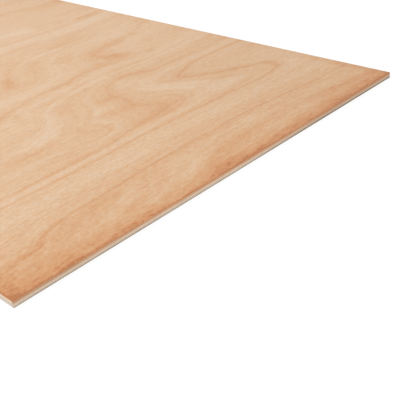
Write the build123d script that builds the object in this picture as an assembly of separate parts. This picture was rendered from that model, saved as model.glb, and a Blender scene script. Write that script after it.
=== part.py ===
"""Thin plywood sheet: three crossed plies glued face to face, cut to size and lightly sanded.

The sheet lies flat with its show face up. The origin is the middle of the back face, X runs
across the sheet, Y along its length and Z up. The grain of both outer plies runs along X and
the grain of the core runs along Y. All sizes are in millimetres.
"""

import os

from build123d import *

# The cut sheet
SHEET_WIDTH = 406.0  # along X
SHEET_LENGTH = 813.0  # along Y

# The plies, from the back up
BACK_THICKNESS = 1.6
CORE_THICKNESS = 1.8
FACE_THICKNESS = 1.6

# What sanding takes off the sawn edges
CORNER_RADIUS = 0.6  # the four upright corners, through every ply
ARRIS_RADIUS = 0.35  # the rim of the show face and of the back


def veneer(thickness, underside):
    """A ply with the sheet's outline, resting at the height of what is under it."""
    outline = RectangleRounded(SHEET_WIDTH, SHEET_LENGTH, CORNER_RADIUS)
    return extrude(Pos(Z=underside) * outline, thickness)


def ease_rim(ply, outer_face):
    """Rounds the arris between an outer ply's open face and the sawn edges."""
    return fillet(outer_face.edges(), ARRIS_RADIUS)


def back_veneer():
    ply = veneer(BACK_THICKNESS, underside=0)
    return ease_rim(ply, ply.faces().sort_by(Axis.Z).first)


def core_veneer():
    return veneer(CORE_THICKNESS, underside=BACK_THICKNESS)


def face_veneer():
    ply = veneer(FACE_THICKNESS, underside=BACK_THICKNESS + CORE_THICKNESS)
    return ease_rim(ply, ply.faces().sort_by(Axis.Z).last)


os.makedirs("parts", exist_ok=True)
for make_ply in (back_veneer, core_veneer, face_veneer):
    piece = make_ply()
    piece.label = make_ply.__name__
    export_step(piece, f"parts/{piece.label}.step")
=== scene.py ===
"""Thin three-ply hardwood sheet lying show face up on a white studio floor, in metres."""

from math import cos, radians, sin

import bpy
import numpy as np
from mathutils import Matrix, Vector


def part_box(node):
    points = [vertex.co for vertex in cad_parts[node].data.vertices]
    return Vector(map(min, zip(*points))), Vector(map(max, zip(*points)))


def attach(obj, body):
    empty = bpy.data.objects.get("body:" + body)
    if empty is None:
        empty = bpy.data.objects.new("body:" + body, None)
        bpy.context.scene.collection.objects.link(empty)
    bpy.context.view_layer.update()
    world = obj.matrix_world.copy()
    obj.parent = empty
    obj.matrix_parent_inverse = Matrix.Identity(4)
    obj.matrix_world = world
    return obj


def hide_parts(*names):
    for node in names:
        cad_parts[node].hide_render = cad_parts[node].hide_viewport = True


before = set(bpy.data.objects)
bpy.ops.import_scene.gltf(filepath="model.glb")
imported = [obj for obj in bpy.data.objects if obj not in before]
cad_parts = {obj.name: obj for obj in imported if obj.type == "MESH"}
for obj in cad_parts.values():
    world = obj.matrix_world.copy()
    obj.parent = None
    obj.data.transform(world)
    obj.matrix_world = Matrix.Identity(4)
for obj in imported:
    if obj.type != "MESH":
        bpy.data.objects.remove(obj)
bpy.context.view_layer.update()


# Back veneer: the plain ply that the sheet rests on. It is rotary-cut, greyer and coarser than the show
# face, with its grain across the sheet, and is glued under the core. Its sawn edges show below the core's.

class Value:
    """A socket of a material's nodes or, with no socket, the empty tree that they are added to.

    Sums, differences, products and quotients of values add Math nodes, and node() adds any other.
    """

    def __init__(self, tree, socket=None):
        self.tree = tree
        self.socket = socket

    def node(self, kind, settings, inputs, output=0):
        """Adds a node with these settings, ramp stops and inputs, and gives one of its outputs."""
        made = self.tree.nodes.new(kind)
        for name, setting in settings.items():
            if name == "stops":
                ramp = made.color_ramp.elements
                while len(ramp) < len(setting):
                    ramp.new(0.5)
                for stop, (place, colour) in zip(ramp, setting):
                    stop.position = place
                    stop.color = colour
            else:
                setattr(made, name, setting)
        for name, value in inputs.items():
            if isinstance(value, Value):
                self.tree.links.new(value.socket, made.inputs[name])
            else:
                made.inputs[name].default_value = value
        return Value(self.tree, made.outputs[output])

    def math(self, operation, *values):
        """Adds a Math node with this operation on values or plain numbers."""
        return self.node("ShaderNodeMath", {"operation": operation}, dict(enumerate(values)))

    def __add__(self, other):
        return self.math("ADD", self, other)

    def __radd__(self, other):
        return self.math("ADD", other, self)

    def __sub__(self, other):
        return self.math("SUBTRACT", self, other)

    def __rsub__(self, other):
        return self.math("SUBTRACT", other, self)

    def __mul__(self, other):
        return self.math("MULTIPLY", self, other)

    def __rmul__(self, other):
        return self.math("MULTIPLY", other, self)

    def __truediv__(self, other):
        return self.math("DIVIDE", self, other)

    def __abs__(self):
        return self.math("ABSOLUTE", self)


def linear(red, green, blue):
    """The linear colour of an 8-bit display colour, by the display curve's two pieces."""
    parts = np.array([red, green, blue]) / 255
    parts = np.where(parts > 0.04045, ((parts + 0.055) / 1.055) ** 2.4, parts / 12.92)
    return (*parts.tolist(), 1.0)


MM = 1000  # millimetres in a metre


def millimetres(nodes):
    """The object's own x, y and z as three values in millimetres."""
    place = nodes.node("ShaderNodeTexCoord", {}, {}, "Object")
    return [place.node("ShaderNodeSeparateXYZ", {}, {"Vector": place}, axis) * MM for axis in "XYZ"]


def noise(x, y, z, detail=2.0, roughness=0.5):
    """Soft noise around 0, mostly within 0.3 either way, whose grains are 1 long in x, y and z.

    Where z is a plain number, it picks a slice of the noise, and each layer of a wood reads its own.
    """
    place = x.node("ShaderNodeCombineXYZ", {}, {"X": x, "Y": y, "Z": z})
    inputs = {"Vector": place, "Scale": 1.0, "Detail": detail, "Roughness": roughness}
    return place.node("ShaderNodeTexNoise", {}, inputs, "Fac") - 0.5


def rise(value, low, high):
    """0 below low, 1 above high, and a smooth step between them."""
    inputs = {"Value": value, "From Min": low, "From Max": high}
    return value.node("ShaderNodeMapRange", {"interpolation_type": "SMOOTHSTEP"}, inputs)


def blend(amount, first, second):
    """The colour first where amount is 0 and second where it is 1."""
    return amount.node("ShaderNodeMix", {"data_type": "RGBA"}, {0: amount, 6: first, 7: second}, 2)


def facing(nodes):
    """How far the surface faces along x, y and z, either way, in the object's own frame."""
    normal = nodes.node("ShaderNodeTexCoord", {}, {}, "Normal")
    return [abs(normal.node("ShaderNodeSeparateXYZ", {}, {"Vector": normal}, axis)) for axis in "XYZ"]


WOOD_SPECULAR = 0.35  # of dry sanded wood with no finish on it


def finish(material, colour, roughness, height, depth):
    """Plugs a wood's colour, roughness and relief, which is depth metres deep, into its shader."""
    nodes = Value(material.node_tree)
    shader = material.node_tree.nodes["Principled BSDF"]
    shader.inputs["Specular IOR Level"].default_value = WOOD_SPECULAR
    bump = nodes.node("ShaderNodeBump", {}, {"Height": height, "Distance": depth})
    for name, value in (("Base Color", colour), ("Roughness", roughness), ("Normal", bump)):
        material.node_tree.links.new(value.socket, shader.inputs[name])


def new_wood(name):
    """A material for one ply, with a plain shader, and the tree that its nodes are added to."""
    material = bpy.data.materials.new(name)
    material.use_nodes = True
    return material, Value(material.node_tree)


# The back's flat face, its edges sawn along the fibres and at the fibres' ends, and the painted contact
# shade at its foot
BACK_PALE = linear(214, 190, 164)
BACK_BROWN = linear(186, 152, 120)
BACK_SAWN_ALONG = linear(202, 184, 160)
BACK_SAWN_DARK = linear(168, 144, 122)
BACK_SAWN_ENDS = linear(198, 186, 174)
BACK_FOOT_SHADE = linear(120, 86, 52)
BACK_RING = 34.0  # millimetres between its rings
BACK_RELIEF = 0.0002  # metres
BACK_FADES_UP = (0.7, 1.4)  # heights on its edges between which it turns as pale as the core
BACK_FOOT_SHADE_ENDS = (0.1, 0.9)  # heights between which the painted shade at the foot gives out

# The pale wood of the core, which the back's edge fades into, and the glue lines under and over the core
CORE_PALE = linear(234, 210, 186)
GLUE_BROWN = linear(120, 84, 58)
BACK_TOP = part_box("back_veneer")[1][2] * MM  # height of the lower glue line
CORE_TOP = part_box("core_veneer")[1][2] * MM  # height of the upper one
GLUE_FADE = (0.02, 0.07)  # millimetres from the line where it starts to fade and where it is gone
DULL_STRETCH = (-10.0, 105.0)  # across the sheet from its middle, where the short edges turn dull


def on_edge(facing_out):
    """1 on the sawn edges that face out along this axis, and 0 on the rest of the ply."""
    return rise(facing_out, 0.4, 0.8)


def dulled(x, y_facing):
    """1 on the right part of the short edges, which is darker, and 0 elsewhere."""
    return rise(x, *DULL_STRETCH) * on_edge(y_facing)


def glue_line(z, height):
    """How much the glue shows: half on the line where two plies meet at this height, and 0 off it."""
    return (1.0 - rise(abs(z - height), *GLUE_FADE)) * 0.5


def back_face(x, y, fibres):
    """The back's flat face: wide wavering rings with late wood, fibres, blotches and short pores."""
    ring = y / BACK_RING + noise(x / 260, y / 90, 4.0, detail=3.0) * 2.4
    late_wood = noise(x / 400, ring * 2.2, 1.5, detail=4.0)
    blotches = noise(x / 60, y / 25, 8.0)
    pores = rise(noise(x / 5, y / 0.35, 12.0, detail=1.0), 0.14, 0.28)
    tone = 0.45 + late_wood * 1.3 + fibres * 0.35 + blotches * 0.5 + pores * 0.3
    return blend(rise(tone, 0.0, 1.0), BACK_PALE, BACK_BROWN)


def back_edge(x, y, z, x_facing, dull):
    """The back's sawn edges: grey-brown with dark patches, and paler towards the core where not dull."""
    patches = noise(x / 18, y / 18, z / 2.5, detail=3.0) * 1.3 + noise(x / 3, y / 3, z / 0.3) * 0.5
    along = blend(rise(0.3 + patches + dull * 0.5, 0.0, 1.0), BACK_SAWN_ALONG, BACK_SAWN_DARK)
    ends = blend(rise(0.3 + patches, 0.0, 1.0), BACK_SAWN_ENDS, BACK_SAWN_ALONG)
    near_core = rise(z, *BACK_FADES_UP) * (1.0 - dull)
    return blend(near_core * 0.65, blend(on_edge(x_facing), along, ends), CORE_PALE)


def back_wood():
    """The back's face and edges, with painted shade along the foot of the edges and the glue line at their
    top.
    """
    material, nodes = new_wood("back_veneer")
    x, y, z = millimetres(nodes)
    x_facing, y_facing, z_facing = facing(nodes)
    fibres = noise(x / 22, y / 0.5, z / 0.5, detail=3.0)
    dull = dulled(x, y_facing)
    colour = blend(rise(z_facing, 0.3, 0.8), back_edge(x, y, z, x_facing, dull), back_face(x, y, fibres))
    # painted contact shade: the edges darken towards the floor, most on the short edges
    foot = (1.0 - rise(z - dull * 0.3, *BACK_FOOT_SHADE_ENDS)) * (1.0 - rise(z_facing, 0.85, 0.99))
    colour = blend(foot * (0.35 + y_facing * 0.65), colour, BACK_FOOT_SHADE)
    colour = blend(glue_line(z, BACK_TOP), colour, GLUE_BROWN)
    finish(material, colour, 0.66 + fibres * 0.2, fibres, BACK_RELIEF)
    return material


back_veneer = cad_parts["back_veneer"]
back_veneer.data.materials.clear()
back_veneer.data.materials.append(back_wood())


# Core veneer: the thicker pale ply in the middle, glued between the outer two with its grain along the
# sheet. Only its sawn edges show: open pores on the short edges and straight fibres on the long ones.

CORE_CREAM = linear(220, 192, 164)
CORE_LONG = linear(210, 194, 178)
# dark of the pores, also used for the painted shade under the show ply
CORE_PORE_AND_SHADE = linear(176, 146, 116)
CORE_RELIEF = 0.0002  # metres
CORE_SHADED_UP = (2.2, CORE_TOP)  # heights between which painted shade under the show ply darkens it
CORE_SHADED_LEFT = (90.0, 160.0)  # distances to the left of the middle between which it does so


def core_wood():
    """Cream wood with dots of pores where its fibres end and streaks where they run along the edge.

    It is darker where the short edges are dull and, near their left end, has painted shade under the show
    ply.
    """
    material, nodes = new_wood("core_veneer")
    x, y, z = millimetres(nodes)
    x_facing, y_facing, _ = facing(nodes)
    pores = noise(x / 0.35, y / 40, z / 0.35, detail=2.0)
    growth = noise(x / 14, y / 200, z / 1.2, detail=3.0)
    saw_marks = noise(x / 0.9, y / 0.9, z / 6)
    tone = 0.4 + growth * 1.4 + saw_marks * 0.3
    ends = blend(rise(tone, 0.0, 1.0), CORE_PALE, CORE_CREAM)
    along = blend(rise(tone, 0.3, 1.3), CORE_LONG, CORE_CREAM)
    wood = blend(on_edge(x_facing), ends, along)
    # painted shade: the top of the core darkens under the show ply on the left of the short edges
    shade_under_face = rise(z, *CORE_SHADED_UP) * y_facing * rise(x * -1, *CORE_SHADED_LEFT)
    dark = rise(pores, 0.12, 0.3) * 0.4 + dulled(x, y_facing) * 0.45 + shade_under_face * 0.45
    colour = blend(dark, wood, CORE_PORE_AND_SHADE)
    colour = blend(glue_line(z, BACK_TOP) + glue_line(z, CORE_TOP), colour, GLUE_BROWN)
    finish(material, colour, 0.72 + growth * 0.2, pores + saw_marks, CORE_RELIEF)
    return material


core_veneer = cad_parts["core_veneer"]
core_veneer.data.materials.clear()
core_veneer.data.materials.append(core_wood())


# Show veneer: the rotary-cut hardwood ply on top, glued to the core with its grain across the sheet and
# sanded. The knife cut its growth rings at a slant, which gives the long lines and the hairpin figure.
# The sanded rim and the wood along it have darkened to orange-brown.

# The rings' lines on the face. Each has its ring's number, then points on it in millimetres from the
# front left corner, x across the sheet and y along it.
RING_LINES = [
    (0.3, [(0, -11), (102, -9), (183, 4), (244, 10), (325, 9), (406, 4)]),
    (0.55, [(0, -1), (81, 1), (134, 5), (162, 13), (183, 20), (211, 26), (244, 30), (284, 32),
            (325, 28), (365, 21), (406, 17)]),
    (0.8, [(0, 10), (41, 13), (57, 19), (69, 25), (101, 33), (110, 38), (138, 43), (203, 47),
           (284, 47), (325, 43), (365, 36), (406, 30)]),
    (1.0, [(0, 30), (24, 32), (45, 36), (55, 43), (61, 47), (89, 50), (134, 53), (183, 57),
           (276, 57), (317, 53), (357, 48), (406, 47)]),
    (1.6, [(0, 55), (32, 58), (61, 63), (81, 64), (183, 65), (244, 66), (292, 63), (325, 59),
           (357, 55), (406, 54)]),
    (2.0, [(0, 62), (32, 65), (61, 70), (102, 71), (162, 71), (203, 73), (284, 70), (325, 65),
           (365, 61), (406, 59)]),
    (4.0, [(0, 99), (142, 98), (191, 100), (244, 99), (309, 95), (350, 94), (361, 97), (368, 102),
           (371, 109), (368, 115), (360, 121), (348, 127), (335, 134), (322, 142), (311, 150), (304, 158),
           (301, 165), (303, 169), (312, 172), (322, 177), (333, 181), (382, 181), (406, 179)]),
    (4.5, [(0, 104), (162, 105), (203, 108), (244, 108), (264, 110), (278, 115), (289, 123), (292, 133),
           (286, 144), (278, 154), (269, 164), (263, 179), (262, 191), (270, 198), (288, 195), (325, 190),
           (406, 189)]),
    (5.0, [(0, 110), (171, 111), (183, 114), (203, 118), (227, 119), (246, 122), (253, 128), (247, 136),
           (239, 142), (233, 150), (231, 156), (235, 164), (237, 175), (232, 183), (235, 193), (244, 207),
           (256, 213), (270, 216), (280, 213), (290, 208), (298, 203), (325, 201), (406, 200)]),
    (6.0, [(0, 137), (81, 137), (122, 135), (150, 126), (175, 123), (191, 127), (200, 138), (195, 147),
           (191, 156), (197, 164), (208, 175), (211, 189), (215, 203), (235, 216), (260, 221), (284, 220),
           (406, 213)]),
    (6.5, [(0, 148), (61, 148), (93, 151), (130, 151), (154, 158), (171, 171), (179, 187), (189, 207),
           (211, 221), (244, 226), (325, 223), (406, 221)]),
    (6.8, [(0, 179), (61, 175), (106, 175), (138, 179), (160, 191), (168, 209), (187, 225), (227, 232),
           (264, 235), (325, 229), (406, 231)]),
    (6.94, [(324, 280), (332, 262), (345, 252), (406, 262)]),
    (7.0, [(0, 223), (81, 221), (142, 233), (162, 240), (179, 246), (211, 251), (244, 255), (260, 260),
           (284, 255), (300, 253), (311, 258), (309, 268), (303, 277), (299, 284), (301, 291), (309, 296),
           (321, 299), (345, 304), (365, 308), (386, 315), (406, 323)]),
    (7.3, [(0, 252), (81, 254), (162, 266), (203, 268), (227, 271), (242, 278), (247, 290), (254, 304),
           (276, 323), (309, 329), (345, 329), (374, 335), (406, 345)]),
    (8.0, [(0, 309), (61, 302), (122, 290), (171, 285), (191, 290), (201, 304), (207, 321), (227, 345),
           (264, 351), (325, 349), (406, 359)]),
    (9.0, [(0, 374), (81, 369), (162, 376), (240, 384), (264, 386), (292, 378), (325, 371), (406, 374)]),
    (10.0, [(0, 418), (81, 410), (162, 408), (260, 414), (301, 408), (341, 404), (365, 407), (382, 411),
            (406, 414)]),
    (10.7, [(162, 434), (284, 434), (345, 432), (406, 438)]),
    (12.0, [(203, 528), (284, 528), (330, 520), (347, 514), (359, 507), (368, 499), (380, 492), (392, 489),
            (406, 497)]),
    (13.0, [(0, 520), (90, 531), (180, 562), (270, 570), (340, 556), (406, 560)]),
    (14.0, [(0, 566), (80, 570), (150, 584), (205, 607), (214, 619), (203, 628), (160, 634), (118, 643),
            (112, 655), (140, 664), (230, 668), (406, 640)]),
    (14.6, [(0, 588), (80, 595), (125, 607), (138, 618), (120, 629), (70, 640), (55, 655), (80, 672),
            (180, 684), (290, 680), (406, 672)]),
    (16.0, [(0, 690), (110, 706), (240, 712), (330, 706), (406, 712)]),
    (17.0, [(0, 742), (140, 748), (260, 741), (406, 750)]),
    (18.0, [(0, 790), (120, 798), (280, 792), (406, 806)]),
    (18.6, [(0, 830), (200, 834), (406, 838)]),
]

# How dark the wood is at each ring, from 0, the palest early wood, to 1, the dark rim
RING_TONES = [
    (0.3, 0.38), (0.5, 0.40), (0.56, 0.42), (0.64, 0.30), (0.78, 0.28), (0.90, 0.36), (0.97, 0.43),
    (1.0, 0.62), (1.04, 0.40), (1.12, 0.30), (1.2, 0.36), (1.28, 0.28), (1.42, 0.38), (1.48, 0.29),
    (1.58, 0.30), (1.62, 0.42), (1.68, 0.28), (1.78, 0.26), (1.84, 0.36), (1.9, 0.26), (1.97, 0.27),
    (2.03, 0.38), (2.1, 0.26), (2.2, 0.22), (2.26, 0.29), (2.34, 0.21), (2.6, 0.21), (2.66, 0.26),
    (2.74, 0.20), (3.35, 0.23), (3.8, 0.25), (3.92, 0.34), (4.0, 0.52), (4.06, 0.36), (4.16, 0.25),
    (4.22, 0.30), (4.3, 0.21), (4.4, 0.15), (4.48, 0.24), (4.58, 0.17), (4.75, 0.31), (4.92, 0.40),
    (5.0, 0.48), (5.07, 0.38), (5.35, 0.29), (5.7, 0.28), (6.0, 0.19), (6.2, 0.28), (6.5, 0.28),
    (6.72, 0.13), (6.8, 0.21), (6.85, 0.23), (6.9, 0.15), (6.95, 0.17), (6.98, 0.27), (7.0, 0.44),
    (7.04, 0.28), (7.1, 0.18), (7.3, 0.12), (7.6, 0.23), (7.85, 0.20), (8.0, 0.31), (8.12, 0.21),
    (8.8, 0.22), (9.0, 0.31), (9.15, 0.17), (9.4, 0.08), (9.7, 0.08), (9.95, 0.26), (10.12, 0.15),
    (10.5, 0.18), (10.9, 0.12), (11.4, 0.18), (11.85, 0.20), (12.0, 0.36), (12.2, 0.18), (12.8, 0.20),
    (13.0, 0.33), (13.3, 0.16), (13.9, 0.24), (14.0, 0.46), (14.12, 0.28), (14.35, 0.12), (14.6, 0.38),
    (14.8, 0.22), (15.4, 0.14), (15.95, 0.36), (16.2, 0.14), (16.9, 0.22), (17.0, 0.37), (17.3, 0.16),
    (18.0, 0.44), (18.6, 0.36),
]

# Streaks and patches where the wood is darker or, below 0, paler than its ring. Each has how much, half
# its width, and points along it, in the same millimetres.
STREAKS = [
    (0.18, 10, [(8, 9), (44, 9)]),
    (-0.09, 3, [(58, 1), (112, 1)]),
    (0.10, 5, [(2, 24), (12, 22)]),
    (0.10, 4, [(22, 42), (36, 41)]),
    (0.10, 6, [(60, 33), (70, 36)]),
    (-0.11, 5, [(46, 44), (56, 49)]),
    (-0.06, 9, [(58, 62), (80, 72)]),
    (0.12, 4, [(50, 12), (100, 18), (130, 26), (155, 30)]),
    (0.08, 5, [(62, 8), (90, 9)]),
    (0.10, 6, [(110, 18), (118, 18)]),
    (0.10, 5, [(100, 45), (120, 44)]),
    (0.08, 4, [(128, 33), (150, 37)]),
    (0.08, 4, [(200, 32), (235, 33)]),
    (0.08, 4, [(185, 53), (220, 54)]),
    (-0.07, 5, [(30, 54), (34, 44)]),
    (0.08, 5, [(145, 47), (170, 46)]),
    (-0.14, 8, [(130, 7), (165, 10)]),
    (-0.09, 6, [(162, 20), (178, 22)]),
    (-0.10, 7, [(182, 24), (188, 36)]),
    (-0.08, 5, [(188, 32), (204, 36)]),
    (0.17, 8, [(194, 6), (208, 8)]),
    (-0.10, 7, [(205, 13), (240, 14), (262, 22), (290, 26), (335, 18)]),
    (-0.08, 6, [(268, 14), (308, 14)]),
    (0.05, 5, [(212, 4), (275, 4)]),
    (-0.10, 5, [(345, 11), (355, 11)]),
    (0.15, 4, [(401, 20), (401, 90)]),
    (0.10, 3, [(335, 77), (400, 77)]),
    (-0.07, 3, [(65, 114), (105, 114)]),
    (-0.06, 6, [(62, 98), (75, 118)]),
    (0.07, 8, [(136, 110), (140, 126)]),
    (0.12, 8, [(98, 160), (112, 153), (138, 150)]),
    (0.10, 10, [(110, 188), (148, 190)]),
    (0.11, 4, [(112, 129), (165, 126)]),
    (-0.09, 6, [(144, 156), (152, 157)]),
    (0.11, 9, [(170, 150), (182, 136)]),
    (0.14, 8, [(208, 121), (240, 123)]),
    (0.12, 3, [(230, 111), (258, 114)]),
    (0.08, 4, [(262, 121), (286, 127)]),
    (0.14, 6, [(200, 157), (226, 153)]),
    (0.17, 6, [(218, 187), (230, 182)]),
    (-0.10, 4, [(245, 172), (246, 156)]),
    (-0.07, 6, [(248, 148), (262, 132)]),
    (0.07, 4, [(250, 178), (256, 200)]),
    (0.08, 4, [(254, 168), (260, 152), (272, 144)]),
    (-0.14, 6, [(265, 172), (276, 155), (288, 138)]),
    (0.12, 5, [(278, 170), (288, 166)]),
    (-0.12, 6, [(258, 199), (268, 196)]),
    (-0.08, 5, [(202, 170), (214, 170)]),
    (-0.07, 3, [(193, 180), (194, 198)]),
    (0.12, 8, [(184, 196), (190, 208)]),
    (0.11, 8, [(156, 205), (154, 222)]),
    (-0.10, 8, [(128, 213), (142, 216)]),
    (0.12, 8, [(270, 214), (290, 198)]),
    (0.14, 4, [(280, 107), (325, 103)]),
    (0.10, 5, [(302, 128), (340, 128)]),
    (-0.12, 6, [(366, 124), (379, 116), (384, 100)]),
    (0.08, 13, [(375, 152), (395, 160)]),
    (-0.09, 5, [(300, 205), (340, 201), (404, 200)]),
    (0.09, 4, [(325, 214), (350, 211), (395, 215)]),
    (-0.09, 4, [(305, 224), (370, 222)]),
    (-0.07, 4, [(215, 224), (262, 229)]),
    (0.12, 5, [(172, 230), (210, 228)]),
    (0.12, 4, [(226, 232), (238, 236)]),
    (0.10, 4, [(265, 235), (310, 231)]),
    (-0.08, 5, [(150, 231), (225, 243)]),
    (-0.10, 8, [(398, 245), (405, 240)]),
    (0.09, 12, [(205, 290), (225, 286)]),
    (0.22, 8, [(194, 297), (200, 312)]),
    (0.12, 9, [(232, 308), (246, 330)]),
    (0.08, 5, [(245, 275), (255, 285)]),
    (0.13, 8, [(262, 304), (272, 308)]),
    (0.10, 7, [(262, 312), (285, 322)]),
    (0.08, 8, [(286, 285), (300, 300)]),
    (0.08, 6, [(298, 272), (314, 266)]),
    (-0.12, 6, [(342, 312), (352, 313)]),
    (0.10, 20, [(350, 262), (402, 268)]),
    (0.06, 8, [(288, 274), (293, 298)]),
    (0.09, 7, [(306, 262), (305, 286)]),
    (-0.08, 5, [(316, 259), (320, 268)]),
    (-0.10, 6, [(352, 305), (400, 320)]),
    (0.14, 6, [(394, 336), (402, 338)]),
    (-0.13, 7, [(248, 348), (285, 344)]),
    (0.13, 8, [(285, 350), (318, 359)]),
    (0.10, 5, [(220, 356), (234, 354)]),
    (-0.07, 8, [(345, 350), (372, 357)]),
    (-0.08, 5, [(290, 378), (305, 381)]),
    (-0.08, 5, [(350, 398), (364, 397)]),
    (0.20, 6, [(368, 410), (392, 408)]),
    (0.10, 6, [(345, 414), (347, 425)]),
    (-0.10, 8, [(276, 442), (306, 430)]),
    (0.10, 10, [(325, 436), (345, 444)]),
    (0.12, 10, [(368, 445), (400, 440)]),
    (0.12, 5, [(400, 495), (404, 505)]),
]

face_low, face_high = (np.array(corner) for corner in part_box("face_veneer"))
HALF_WIDTH, HALF_LENGTH, TOP = face_high
UNDERSIDE = face_low[2]
CORNER_RADIUS = 0.0006  # sanded upright corners
ARRIS_RADIUS = 0.00035  # sanded rim
CELL = 0.0035  # about one cell of the surface's grid
RIM_LINES = 5  # lines of the grid over the sanded rim
TINY = 1e-12  # keeps a division or a logarithm off 0
RING_SPACING = 6.0  # at most, in millimetres, between the points of a ring line that hold the plate
PLATE_SLACK = 2e-5  # lets the plate miss those points a little, which keeps it smooth


def ring_numbers(x, y):
    """The ring number at points of the face, as a thin plate bent through the ring lines.

    It is a plane plus, for each point of the lines, a weight times r squared times log r. r is the
    distance to that point with x halved, because wood changes more slowly along its grain. Lengths
    are in widths of the sheet.
    """
    width = 2 * HALF_WIDTH
    places, numbers = [], []
    for number, line in RING_LINES:
        line = np.array(line, float)
        length = np.append(0, np.cumsum(np.hypot(*np.diff(line, axis=0).T)))
        steps = np.linspace(0, length[-1], int(length[-1] / RING_SPACING) + 2)
        places.append(np.column_stack([np.interp(steps, length, line[:, axis]) for axis in (0, 1)]))
        numbers.append(np.full(len(steps), number))
    places = np.concatenate(places) / (width * MM)
    numbers = np.concatenate(numbers)

    def bending(dx, dy):
        square = (dx / 2) ** 2 + dy ** 2
        return square * np.log(square + TINY)

    count = len(places)
    plane = np.column_stack([np.ones(count), places])
    plate = bending(*(places[:, None, :] - places).transpose(2, 0, 1)) + PLATE_SLACK * np.eye(count)
    system = np.block([[plate, plane], [plane.T, np.zeros((3, 3))]])
    weights = np.linalg.solve(system, np.append(numbers, np.zeros(3)))
    x = (x + HALF_WIDTH) / width
    y = (y + HALF_LENGTH) / width
    total = weights[count] + weights[count + 1] * x + weights[count + 2] * y
    for weight, (px, py) in zip(weights, places):
        total += weight * bending(x - px, y - py)
    return total


def streak_shades(x, y):
    """How much the streaks darken points of the face.

    Each adds its amount on its line, and away from it the amount times e to the power of minus the
    square of the distance over its half width.
    """
    x = (x + HALF_WIDTH) * MM
    y = (y + HALF_LENGTH) * MM
    total = np.zeros_like(x)
    for amount, half_width, line in STREAKS:
        nearest = np.full_like(x, np.inf)
        for (x0, y0), (x1, y1) in zip(line, line[1:]):
            run = ((x - x0) * (x1 - x0) + (y - y0) * (y1 - y0)) / ((x1 - x0) ** 2 + (y1 - y0) ** 2)
            run = np.clip(run, 0, 1)
            away = np.hypot(x - x0 - run * (x1 - x0), y - y0 - run * (y1 - y0))
            nearest = np.minimum(nearest, away)
        total += amount * np.exp(-(nearest / half_width) ** 2)
    return total


def grid_lines(half):
    """Places from -half to half: fine over the sanded rim and corner, then even cells between."""
    rim = ARRIS_RADIUS * (1 - np.cos(np.linspace(0, np.pi / 2, RIM_LINES)))
    inner = half - CORNER_RADIUS
    middle = np.linspace(-inner, inner, int(round(2 * inner / CELL)) + 1)
    return np.concatenate([rim - half, middle, (half - rim)[::-1]])


def show_surface():
    """The ply's top as a grid of points, from its rim up over the sanded arris to its flat face.

    In the corner squares a point moves onto a quarter disc, by its larger coordinate over its
    distance. The height falls off from the top as a quarter circle over the arris, by the distance
    to the outline.
    """
    x, y = np.meshgrid(grid_lines(HALF_WIDTH), grid_lines(HALF_LENGTH))
    across = np.maximum(abs(x) - (HALF_WIDTH - CORNER_RADIUS), 0)
    along = np.maximum(abs(y) - (HALF_LENGTH - CORNER_RADIUS), 0)
    larger = np.maximum(across, along)
    reach = np.hypot(across, along)
    squeeze = np.where(reach > 0, larger / np.maximum(reach, TINY), 1)
    x = np.sign(x) * (abs(x) - across * (1 - squeeze))
    y = np.sign(y) * (abs(y) - along * (1 - squeeze))
    inside = np.maximum(ARRIS_RADIUS - (CORNER_RADIUS - larger), 0)
    z = TOP - ARRIS_RADIUS + np.sqrt(np.maximum(ARRIS_RADIUS ** 2 - inside ** 2, 0))
    return np.stack([x, y, z], axis=-1)


def show_veneer_mesh():
    """A closed ply: the top's grid, walls straight down from its rim and a fan that shuts the underside."""
    top = show_surface()
    rows, columns = top.shape[:2]
    index = np.arange(rows * columns).reshape(rows, columns)
    rim = np.concatenate([index[0, :-1], index[:-1, -1], index[-1, :0:-1], index[:0:-1, 0]])
    top = top.reshape(-1, 3)
    foot = top[rim] * (1, 1, 0) + (0, 0, UNDERSIDE)
    points = np.concatenate([top, foot, [(0, 0, UNDERSIDE)]])
    low = rows * columns + np.arange(len(rim))
    centre = len(points) - 1
    cells = np.stack([index[:-1, :-1], index[:-1, 1:], index[1:, 1:], index[1:, :-1]], -1)
    walls = np.stack([rim, low, np.roll(low, -1), np.roll(rim, -1)], -1)
    fan = np.stack([np.roll(low, -1), low, np.full(len(low), centre)], -1)
    mesh = bpy.data.meshes.new("show_veneer")
    faces = [*cells.reshape(-1, 4).tolist(), *walls.tolist(), *fan.tolist()]
    mesh.from_pydata(points.tolist(), [], faces)
    for name, values in {"ring": ring_numbers, "shade": streak_shades}.items():
        attribute = mesh.attributes.new(name, "FLOAT", "POINT")
        attribute.data.foreach_set("value", values(points[:, 0], points[:, 1]).astype(np.float32))
    mesh.update()
    return mesh


RAMP_STOPS = 30  # in one colour ramp, which has room for 32


def tone_profile(value, stops):
    """Reads a long list of stops as the sum of short ramps, each of which adds its own change."""
    total = stops[0][1]
    for first in range(0, len(stops) - 1, RAMP_STOPS - 1):
        part = stops[first:first + RAMP_STOPS]
        start, end = part[0][0], part[-1][0]
        colours = [((place - start) / (end - start), (tone, tone, tone, 1)) for place, tone in part]
        along = (value - start) / (end - start)
        ramp = value.node("ShaderNodeValToRGB", {"stops": colours}, {"Fac": along})
        total = ramp - part[0][1] + total
    return total


# The face's colours, from the palest early wood to the darkened rim
FACE_COLOURS = [
    (0.0, linear(232, 206, 180)), (0.16, linear(227, 195, 162)), (0.30, linear(224, 186, 149)),
    (0.51, linear(219, 173, 130)), (0.75, linear(214, 156, 109)), (0.89, linear(206, 143, 96)),
    (1.0, linear(188, 122, 76)),
]
FACE_WARM_TINT = (1.02, 1.004, 0.985, 1.0)
FACE_DULL_TINT = (0.955, 0.978, 1.005, 1.0)
FACE_GREY_RIM_TINT = (0.87, 0.89, 0.9, 1.0)
FACE_SAWN_ALONG = linear(214, 164, 126)
FACE_SAWN_DARK = linear(194, 140, 100)
FACE_SAWN_ENDS = linear(230, 216, 194)
SHOW_RELIEF = 0.00015  # metres

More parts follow.
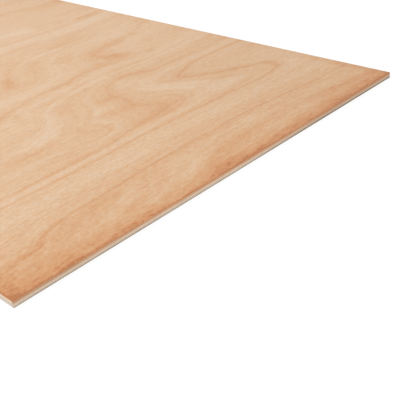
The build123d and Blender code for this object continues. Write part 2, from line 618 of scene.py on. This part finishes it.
# Where the face changes: each pair is two places in millimetres from its middle, x to the right or y to
# the back, and the change takes place between them
LIVELY_FRONT_ENDS = (-340.0, -270.0)  # y
LIVELY_LEFT_ENDS = (-110.0, 60.0)  # x
STRONG_RINGS_END = (-260.0, -160.0)  # y
DARKER_RIGHT = (-50.0, 90.0)  # x
RIGHT_PART = (0.0, 150.0)  # x, where the duller corner and the greyer rim start
DULL_CORNER_ENDS = (-280.0, -100.0)  # y
GREY_RIM_ENDS = (-390.0, -290.0)  # y
BROWN_ARRIS_RIGHT = (-100.0, -60.0)  # x
BROWN_RIM_LEFT = (0.0, 100.0)  # x, to the left
WORN_EDGE_MIDDLE = -28.0  # x of the middle of the stretch of the short edges that isn't worn
WORN_EDGE_STARTS = (100.0, 150.0)  # distances from there, either way


def fading(distance, reach):
    """e to the power of minus the distance over its reach, which is 1 at distance 0."""
    power = distance / -reach
    return power.math("EXPONENT", power)


def ring_figure(x, y, ring):
    """The tone of the rings, drawn stronger near the front, and stronger and weaker by turns."""
    strength = 1.2 - rise(y, *STRONG_RINGS_END) * 0.18 + noise(x / 60, ring / 0.8, 9.0) * 0.7
    return (tone_profile(ring, RING_TONES) - 0.2) * strength + 0.2


def fine_figure(x, y, ring):
    """The tone of all that is finer than the rings, livelier near the front and on the left."""
    lively = 1.35 - rise(y, *LIVELY_FRONT_ENDS) * 0.35 + (1.0 - rise(x, *LIVELY_LEFT_ENDS)) * 0.15
    lines = noise(x / 80, ring * 9, 3.0, detail=4.0, roughness=0.65) * 0.34
    hair_lines = noise(x / 40, ring * 30, 6.0, detail=2.0) * 0.24
    streaks = noise(x / 17, y / 5 + ring, 19.0, detail=4.0, roughness=0.6) * 0.2
    grain = noise(x / 8, y / 1.3, 23.0, detail=2.0) * 0.2
    mottle = noise(x / 6, y / 5, 35.0, detail=3.0) * 0.28
    blotches = noise(x / 38, y / 20, 11.0, detail=3.0) * 0.12
    speckle = noise(x / 2.6, y / 2.4, 27.0, detail=2.0) * 0.34
    return (lines + hair_lines + streaks + grain + mottle + blotches + speckle) * lively


def rim_tone(x, y, to_side, to_end):
    """How much darker the sanded arris and the wood along it are, in soft patches."""
    brown_arris = fading(to_end, 1.5) * (0.05 + rise(x, *BROWN_ARRIS_RIGHT) * 0.09)
    short_rims = fading(to_end, 13.0) * 0.42 + brown_arris + fading(to_end, 0.4) * 0.14
    brown_rim = fading(to_side, 7.0) * (0.1 + rise(x * -1, *BROWN_RIM_LEFT) * 0.22)
    long_rims = brown_rim + fading(to_side, 0.8) * 0.2
    return (short_rims + long_rims) * (1.0 + noise(x / 12, y / 7, 17.0, detail=3.0) * 0.75)


def face_colour(x, y, tone, to_side):
    """The face's colour at each tone, tinted warmer and duller by turns.

    It is duller near the front right corner, and greyer along the rim of the long side there.
    """
    face = tone.node("ShaderNodeValToRGB", {"stops": FACE_COLOURS}, {"Fac": tone})
    right = rise(x, *RIGHT_PART)
    dull_corner = right * (1.0 - rise(y, *DULL_CORNER_ENDS))
    hue = noise(x / 10, y / 4, 43.0, detail=3.0)
    tint = blend(0.35 + hue * 1.8 + dull_corner * 0.4, FACE_WARM_TINT, FACE_DULL_TINT)
    grey_rim = fading(to_side, 3.0) * right * (1.0 - rise(y, *GREY_RIM_ENDS))
    tint = blend(grey_rim, tint, FACE_GREY_RIM_TINT)
    multiply = {"data_type": "RGBA", "blend_type": "MULTIPLY"}
    return face.node("ShaderNodeMix", multiply, {0: 1.0, 6: face, 7: tint}, 2)


def show_edge(x, y, z, x_facing):
    """The ply's sawn edges: tan with dark grain, more near the short edges' ends, over the glue line."""
    sawn = noise(x / 30, y / 30, z / 0.4, detail=3.0) * 1.4 + noise(x / 2, y / 2, z / 0.3) * 0.5
    worn = rise(abs(x - WORN_EDGE_MIDDLE), *WORN_EDGE_STARTS)
    along = blend(rise(0.3 + sawn + worn * 0.35, 0.0, 1.0), FACE_SAWN_ALONG, FACE_SAWN_DARK)
    ends = blend(rise(0.3 + sawn, 0.0, 1.0), FACE_SAWN_ENDS, FACE_SAWN_ALONG)
    return blend(glue_line(z, CORE_TOP), blend(on_edge(x_facing), along, ends), GLUE_BROWN)


def show_wood():
    """The ring figure, fibres, pores and dashes on the face, its darkened rim and its sawn edges."""
    material, nodes = new_wood("show_veneer")
    x, y, z = millimetres(nodes)
    x_facing, _, z_facing = facing(nodes)
    ring = nodes.node("ShaderNodeAttribute", {"attribute_name": "ring"}, {}, "Fac")
    ring = ring + noise(x / 18, y / 9, 2.0, detail=4.0) * 0.14 + noise(x / 70, y / 40, 5.0) * 0.06
    shade = nodes.node("ShaderNodeAttribute", {"attribute_name": "shade"}, {}, "Fac")
    shade = shade * (1.0 + noise(x / 12, y / 4, 31.0, detail=3.0) * 0.8)
    fibres = noise(x / 16, y / 0.45, z / 0.45, detail=3.0)
    pores = rise(noise(x / 4.5, y / 0.28, 14.0, detail=1.0), 0.16, 0.3)
    dashes = rise(noise(x / 7, y / 0.8, 41.0, detail=1.0), 0.2, 0.3)

    to_side = HALF_WIDTH * MM - abs(x)
    to_end = HALF_LENGTH * MM - abs(y)
    tone = 0.04 + ring_figure(x, y, ring) + fine_figure(x, y, ring) + rise(x, *DARKER_RIGHT) * 0.05
    tone = tone + fibres * 0.12 + pores * 0.06 + dashes * 0.1
    tone = tone + shade + rim_tone(x, y, to_side, to_end)
    face = face_colour(x, y, tone, to_side)
    on_face = rise(z_facing - x_facing * 0.5, 0.1, 0.5)
    colour = blend(on_face, show_edge(x, y, z, x_facing), face)
    finish(material, colour, 0.58 + fibres * 0.25 + pores * 0.1, fibres - pores * 0.6, SHOW_RELIEF)
    return material


show_veneer = bpy.data.objects.new("show_veneer", show_veneer_mesh())
bpy.context.scene.collection.objects.link(show_veneer)
show_veneer.data.materials.append(show_wood())
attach(show_veneer, "root")
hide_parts("face_veneer")


# Studio: a white floor that the sheet lies on, which runs into a white surround. Both show as plain
# white to the camera and in reflections, and the floor keeps a little of the sheet's shadow.

FLOOR_REACH = 6.0  # from its middle to each side
FLOOR_DROP = 0.0002  # below the sheet's back, so that the two surfaces stay apart
FLOOR_GREY = 0.9  # of the paper as it is lit
FLOOR_GLOW = 1.035  # of the paper as it is seen, just over white
SHADOW_SHARE = 0.13  # how much of the lit paper, with the sheet's shadow, is seen
ROOM_LIGHT = 0.70  # how much the surround lights things, where it is seen as 1


def white_where_seen(nodes):
    """1 for rays from the camera and for mirrored or refracted ones, and 0 for those that light things."""
    seen = nodes.node("ShaderNodeLightPath", {}, {}, "Is Camera Ray")
    for kind in ("Is Glossy Ray", "Is Transmission Ray"):
        seen = seen.math("MAXIMUM", seen, nodes.node("ShaderNodeLightPath", {}, {}, kind))
    return seen


floor_mesh = bpy.data.meshes.new("floor")
sides = (-FLOOR_REACH, FLOOR_REACH)
floor_mesh.from_pydata([(x, y, -FLOOR_DROP) for y in sides for x in sides], [], [(0, 1, 3, 2)])
floor = bpy.data.objects.new("floor", floor_mesh)
bpy.context.scene.collection.objects.link(floor)

paper = bpy.data.materials.new("floor_paper")
paper.use_nodes = True
nodes = Value(paper.node_tree)
shader = paper.node_tree.nodes["Principled BSDF"]
shader.inputs["Base Color"].default_value = (FLOOR_GREY, FLOOR_GREY, FLOOR_GREY, 1)
shader.inputs["Roughness"].default_value = 1.0
shader.inputs["Specular IOR Level"].default_value = 0.0
glow = nodes.node("ShaderNodeEmission", {}, {"Color": (1, 1, 1, 1), "Strength": FLOOR_GLOW}, "Emission")
lit = Value(paper.node_tree, shader.outputs["BSDF"])
share = white_where_seen(nodes) * (1 - SHADOW_SHARE)
mixed = nodes.node("ShaderNodeMixShader", {}, {0: share, 1: lit, 2: glow})
paper.node_tree.links.new(mixed.socket, paper.node_tree.nodes["Material Output"].inputs["Surface"])
floor_mesh.materials.append(paper)

world = bpy.data.worlds.new("white_room")
bpy.context.scene.world = world
world.use_nodes = True
nodes = Value(world.node_tree)
background = world.node_tree.nodes["Background"]
background.inputs["Color"].default_value = (1, 1, 1, 1)
strength = white_where_seen(nodes) * (1 - ROOM_LIGHT) + ROOM_LIGHT
world.node_tree.links.new(strength.socket, background.inputs["Strength"])


# Light: two soft lamps over the even light of the white room. The large one, high on the left, makes the
# left edge brighter than the front one and the far left of the face a little brighter than the near
# right. The weak long one, low in front, lifts the front edge.

LAMPS = [
    # Name, width and height in metres, watts, and place. Both look at the middle of the sheet.
    ("soft_lamp", (1.2, 1.2), 14.5, (-1.1, 0.4, 1.15)),
    ("low_strip", (2.0, 0.3), 2.0, (0.0, -1.5, 0.2)),
]

for name, (width, height), watts, place in LAMPS:
    lamp_data = bpy.data.lights.new(name, "AREA")
    lamp_data.shape = "RECTANGLE"
    lamp_data.size = width
    lamp_data.size_y = height
    lamp_data.energy = watts
    lamp = bpy.data.objects.new(name, lamp_data)
    lamp.location = place
    lamp.rotation_euler = (-lamp.location).to_track_quat("-Z", "Y").to_euler()
    bpy.context.scene.collection.objects.link(lamp)


# Camera: close over the front left corner, looking down across the sheet, turned a little about its own
# axis, as in the photograph.

CAMERA_PLACE = (-0.3574, -0.7527, 0.2748)
LOOKS_TOWARDS = radians(47.89)  # from x towards y
LOOKS_DOWN = radians(30.91)
ROLL = radians(-6.91)
LENS = 68.2  # millimetres
FILM_WIDTH = 36.0  # millimetres
NEAREST = 0.01  # metres from the camera that it still shows

camera_data = bpy.data.cameras.new("camera")
camera_data.sensor_width = FILM_WIDTH
camera_data.lens = LENS
camera_data.clip_start = NEAREST
camera = bpy.data.objects.new("camera", camera_data)
bpy.context.scene.collection.objects.link(camera)
ahead = Vector((
    cos(LOOKS_DOWN) * cos(LOOKS_TOWARDS),
    cos(LOOKS_DOWN) * sin(LOOKS_TOWARDS),
    -sin(LOOKS_DOWN),
))
level = Vector((sin(LOOKS_TOWARDS), -cos(LOOKS_TOWARDS), 0))
upright = level.cross(ahead)  # up in the picture before the roll
right = level * cos(ROLL) + upright * sin(ROLL)
up = upright * cos(ROLL) - level * sin(ROLL)
axes = Matrix((right, up, -ahead)).transposed().to_4x4()
camera.matrix_world = Matrix.Translation(CAMERA_PLACE) @ axes
bpy.context.scene.camera = camera

bpy.context.scene.view_settings.view_transform = "Standard"
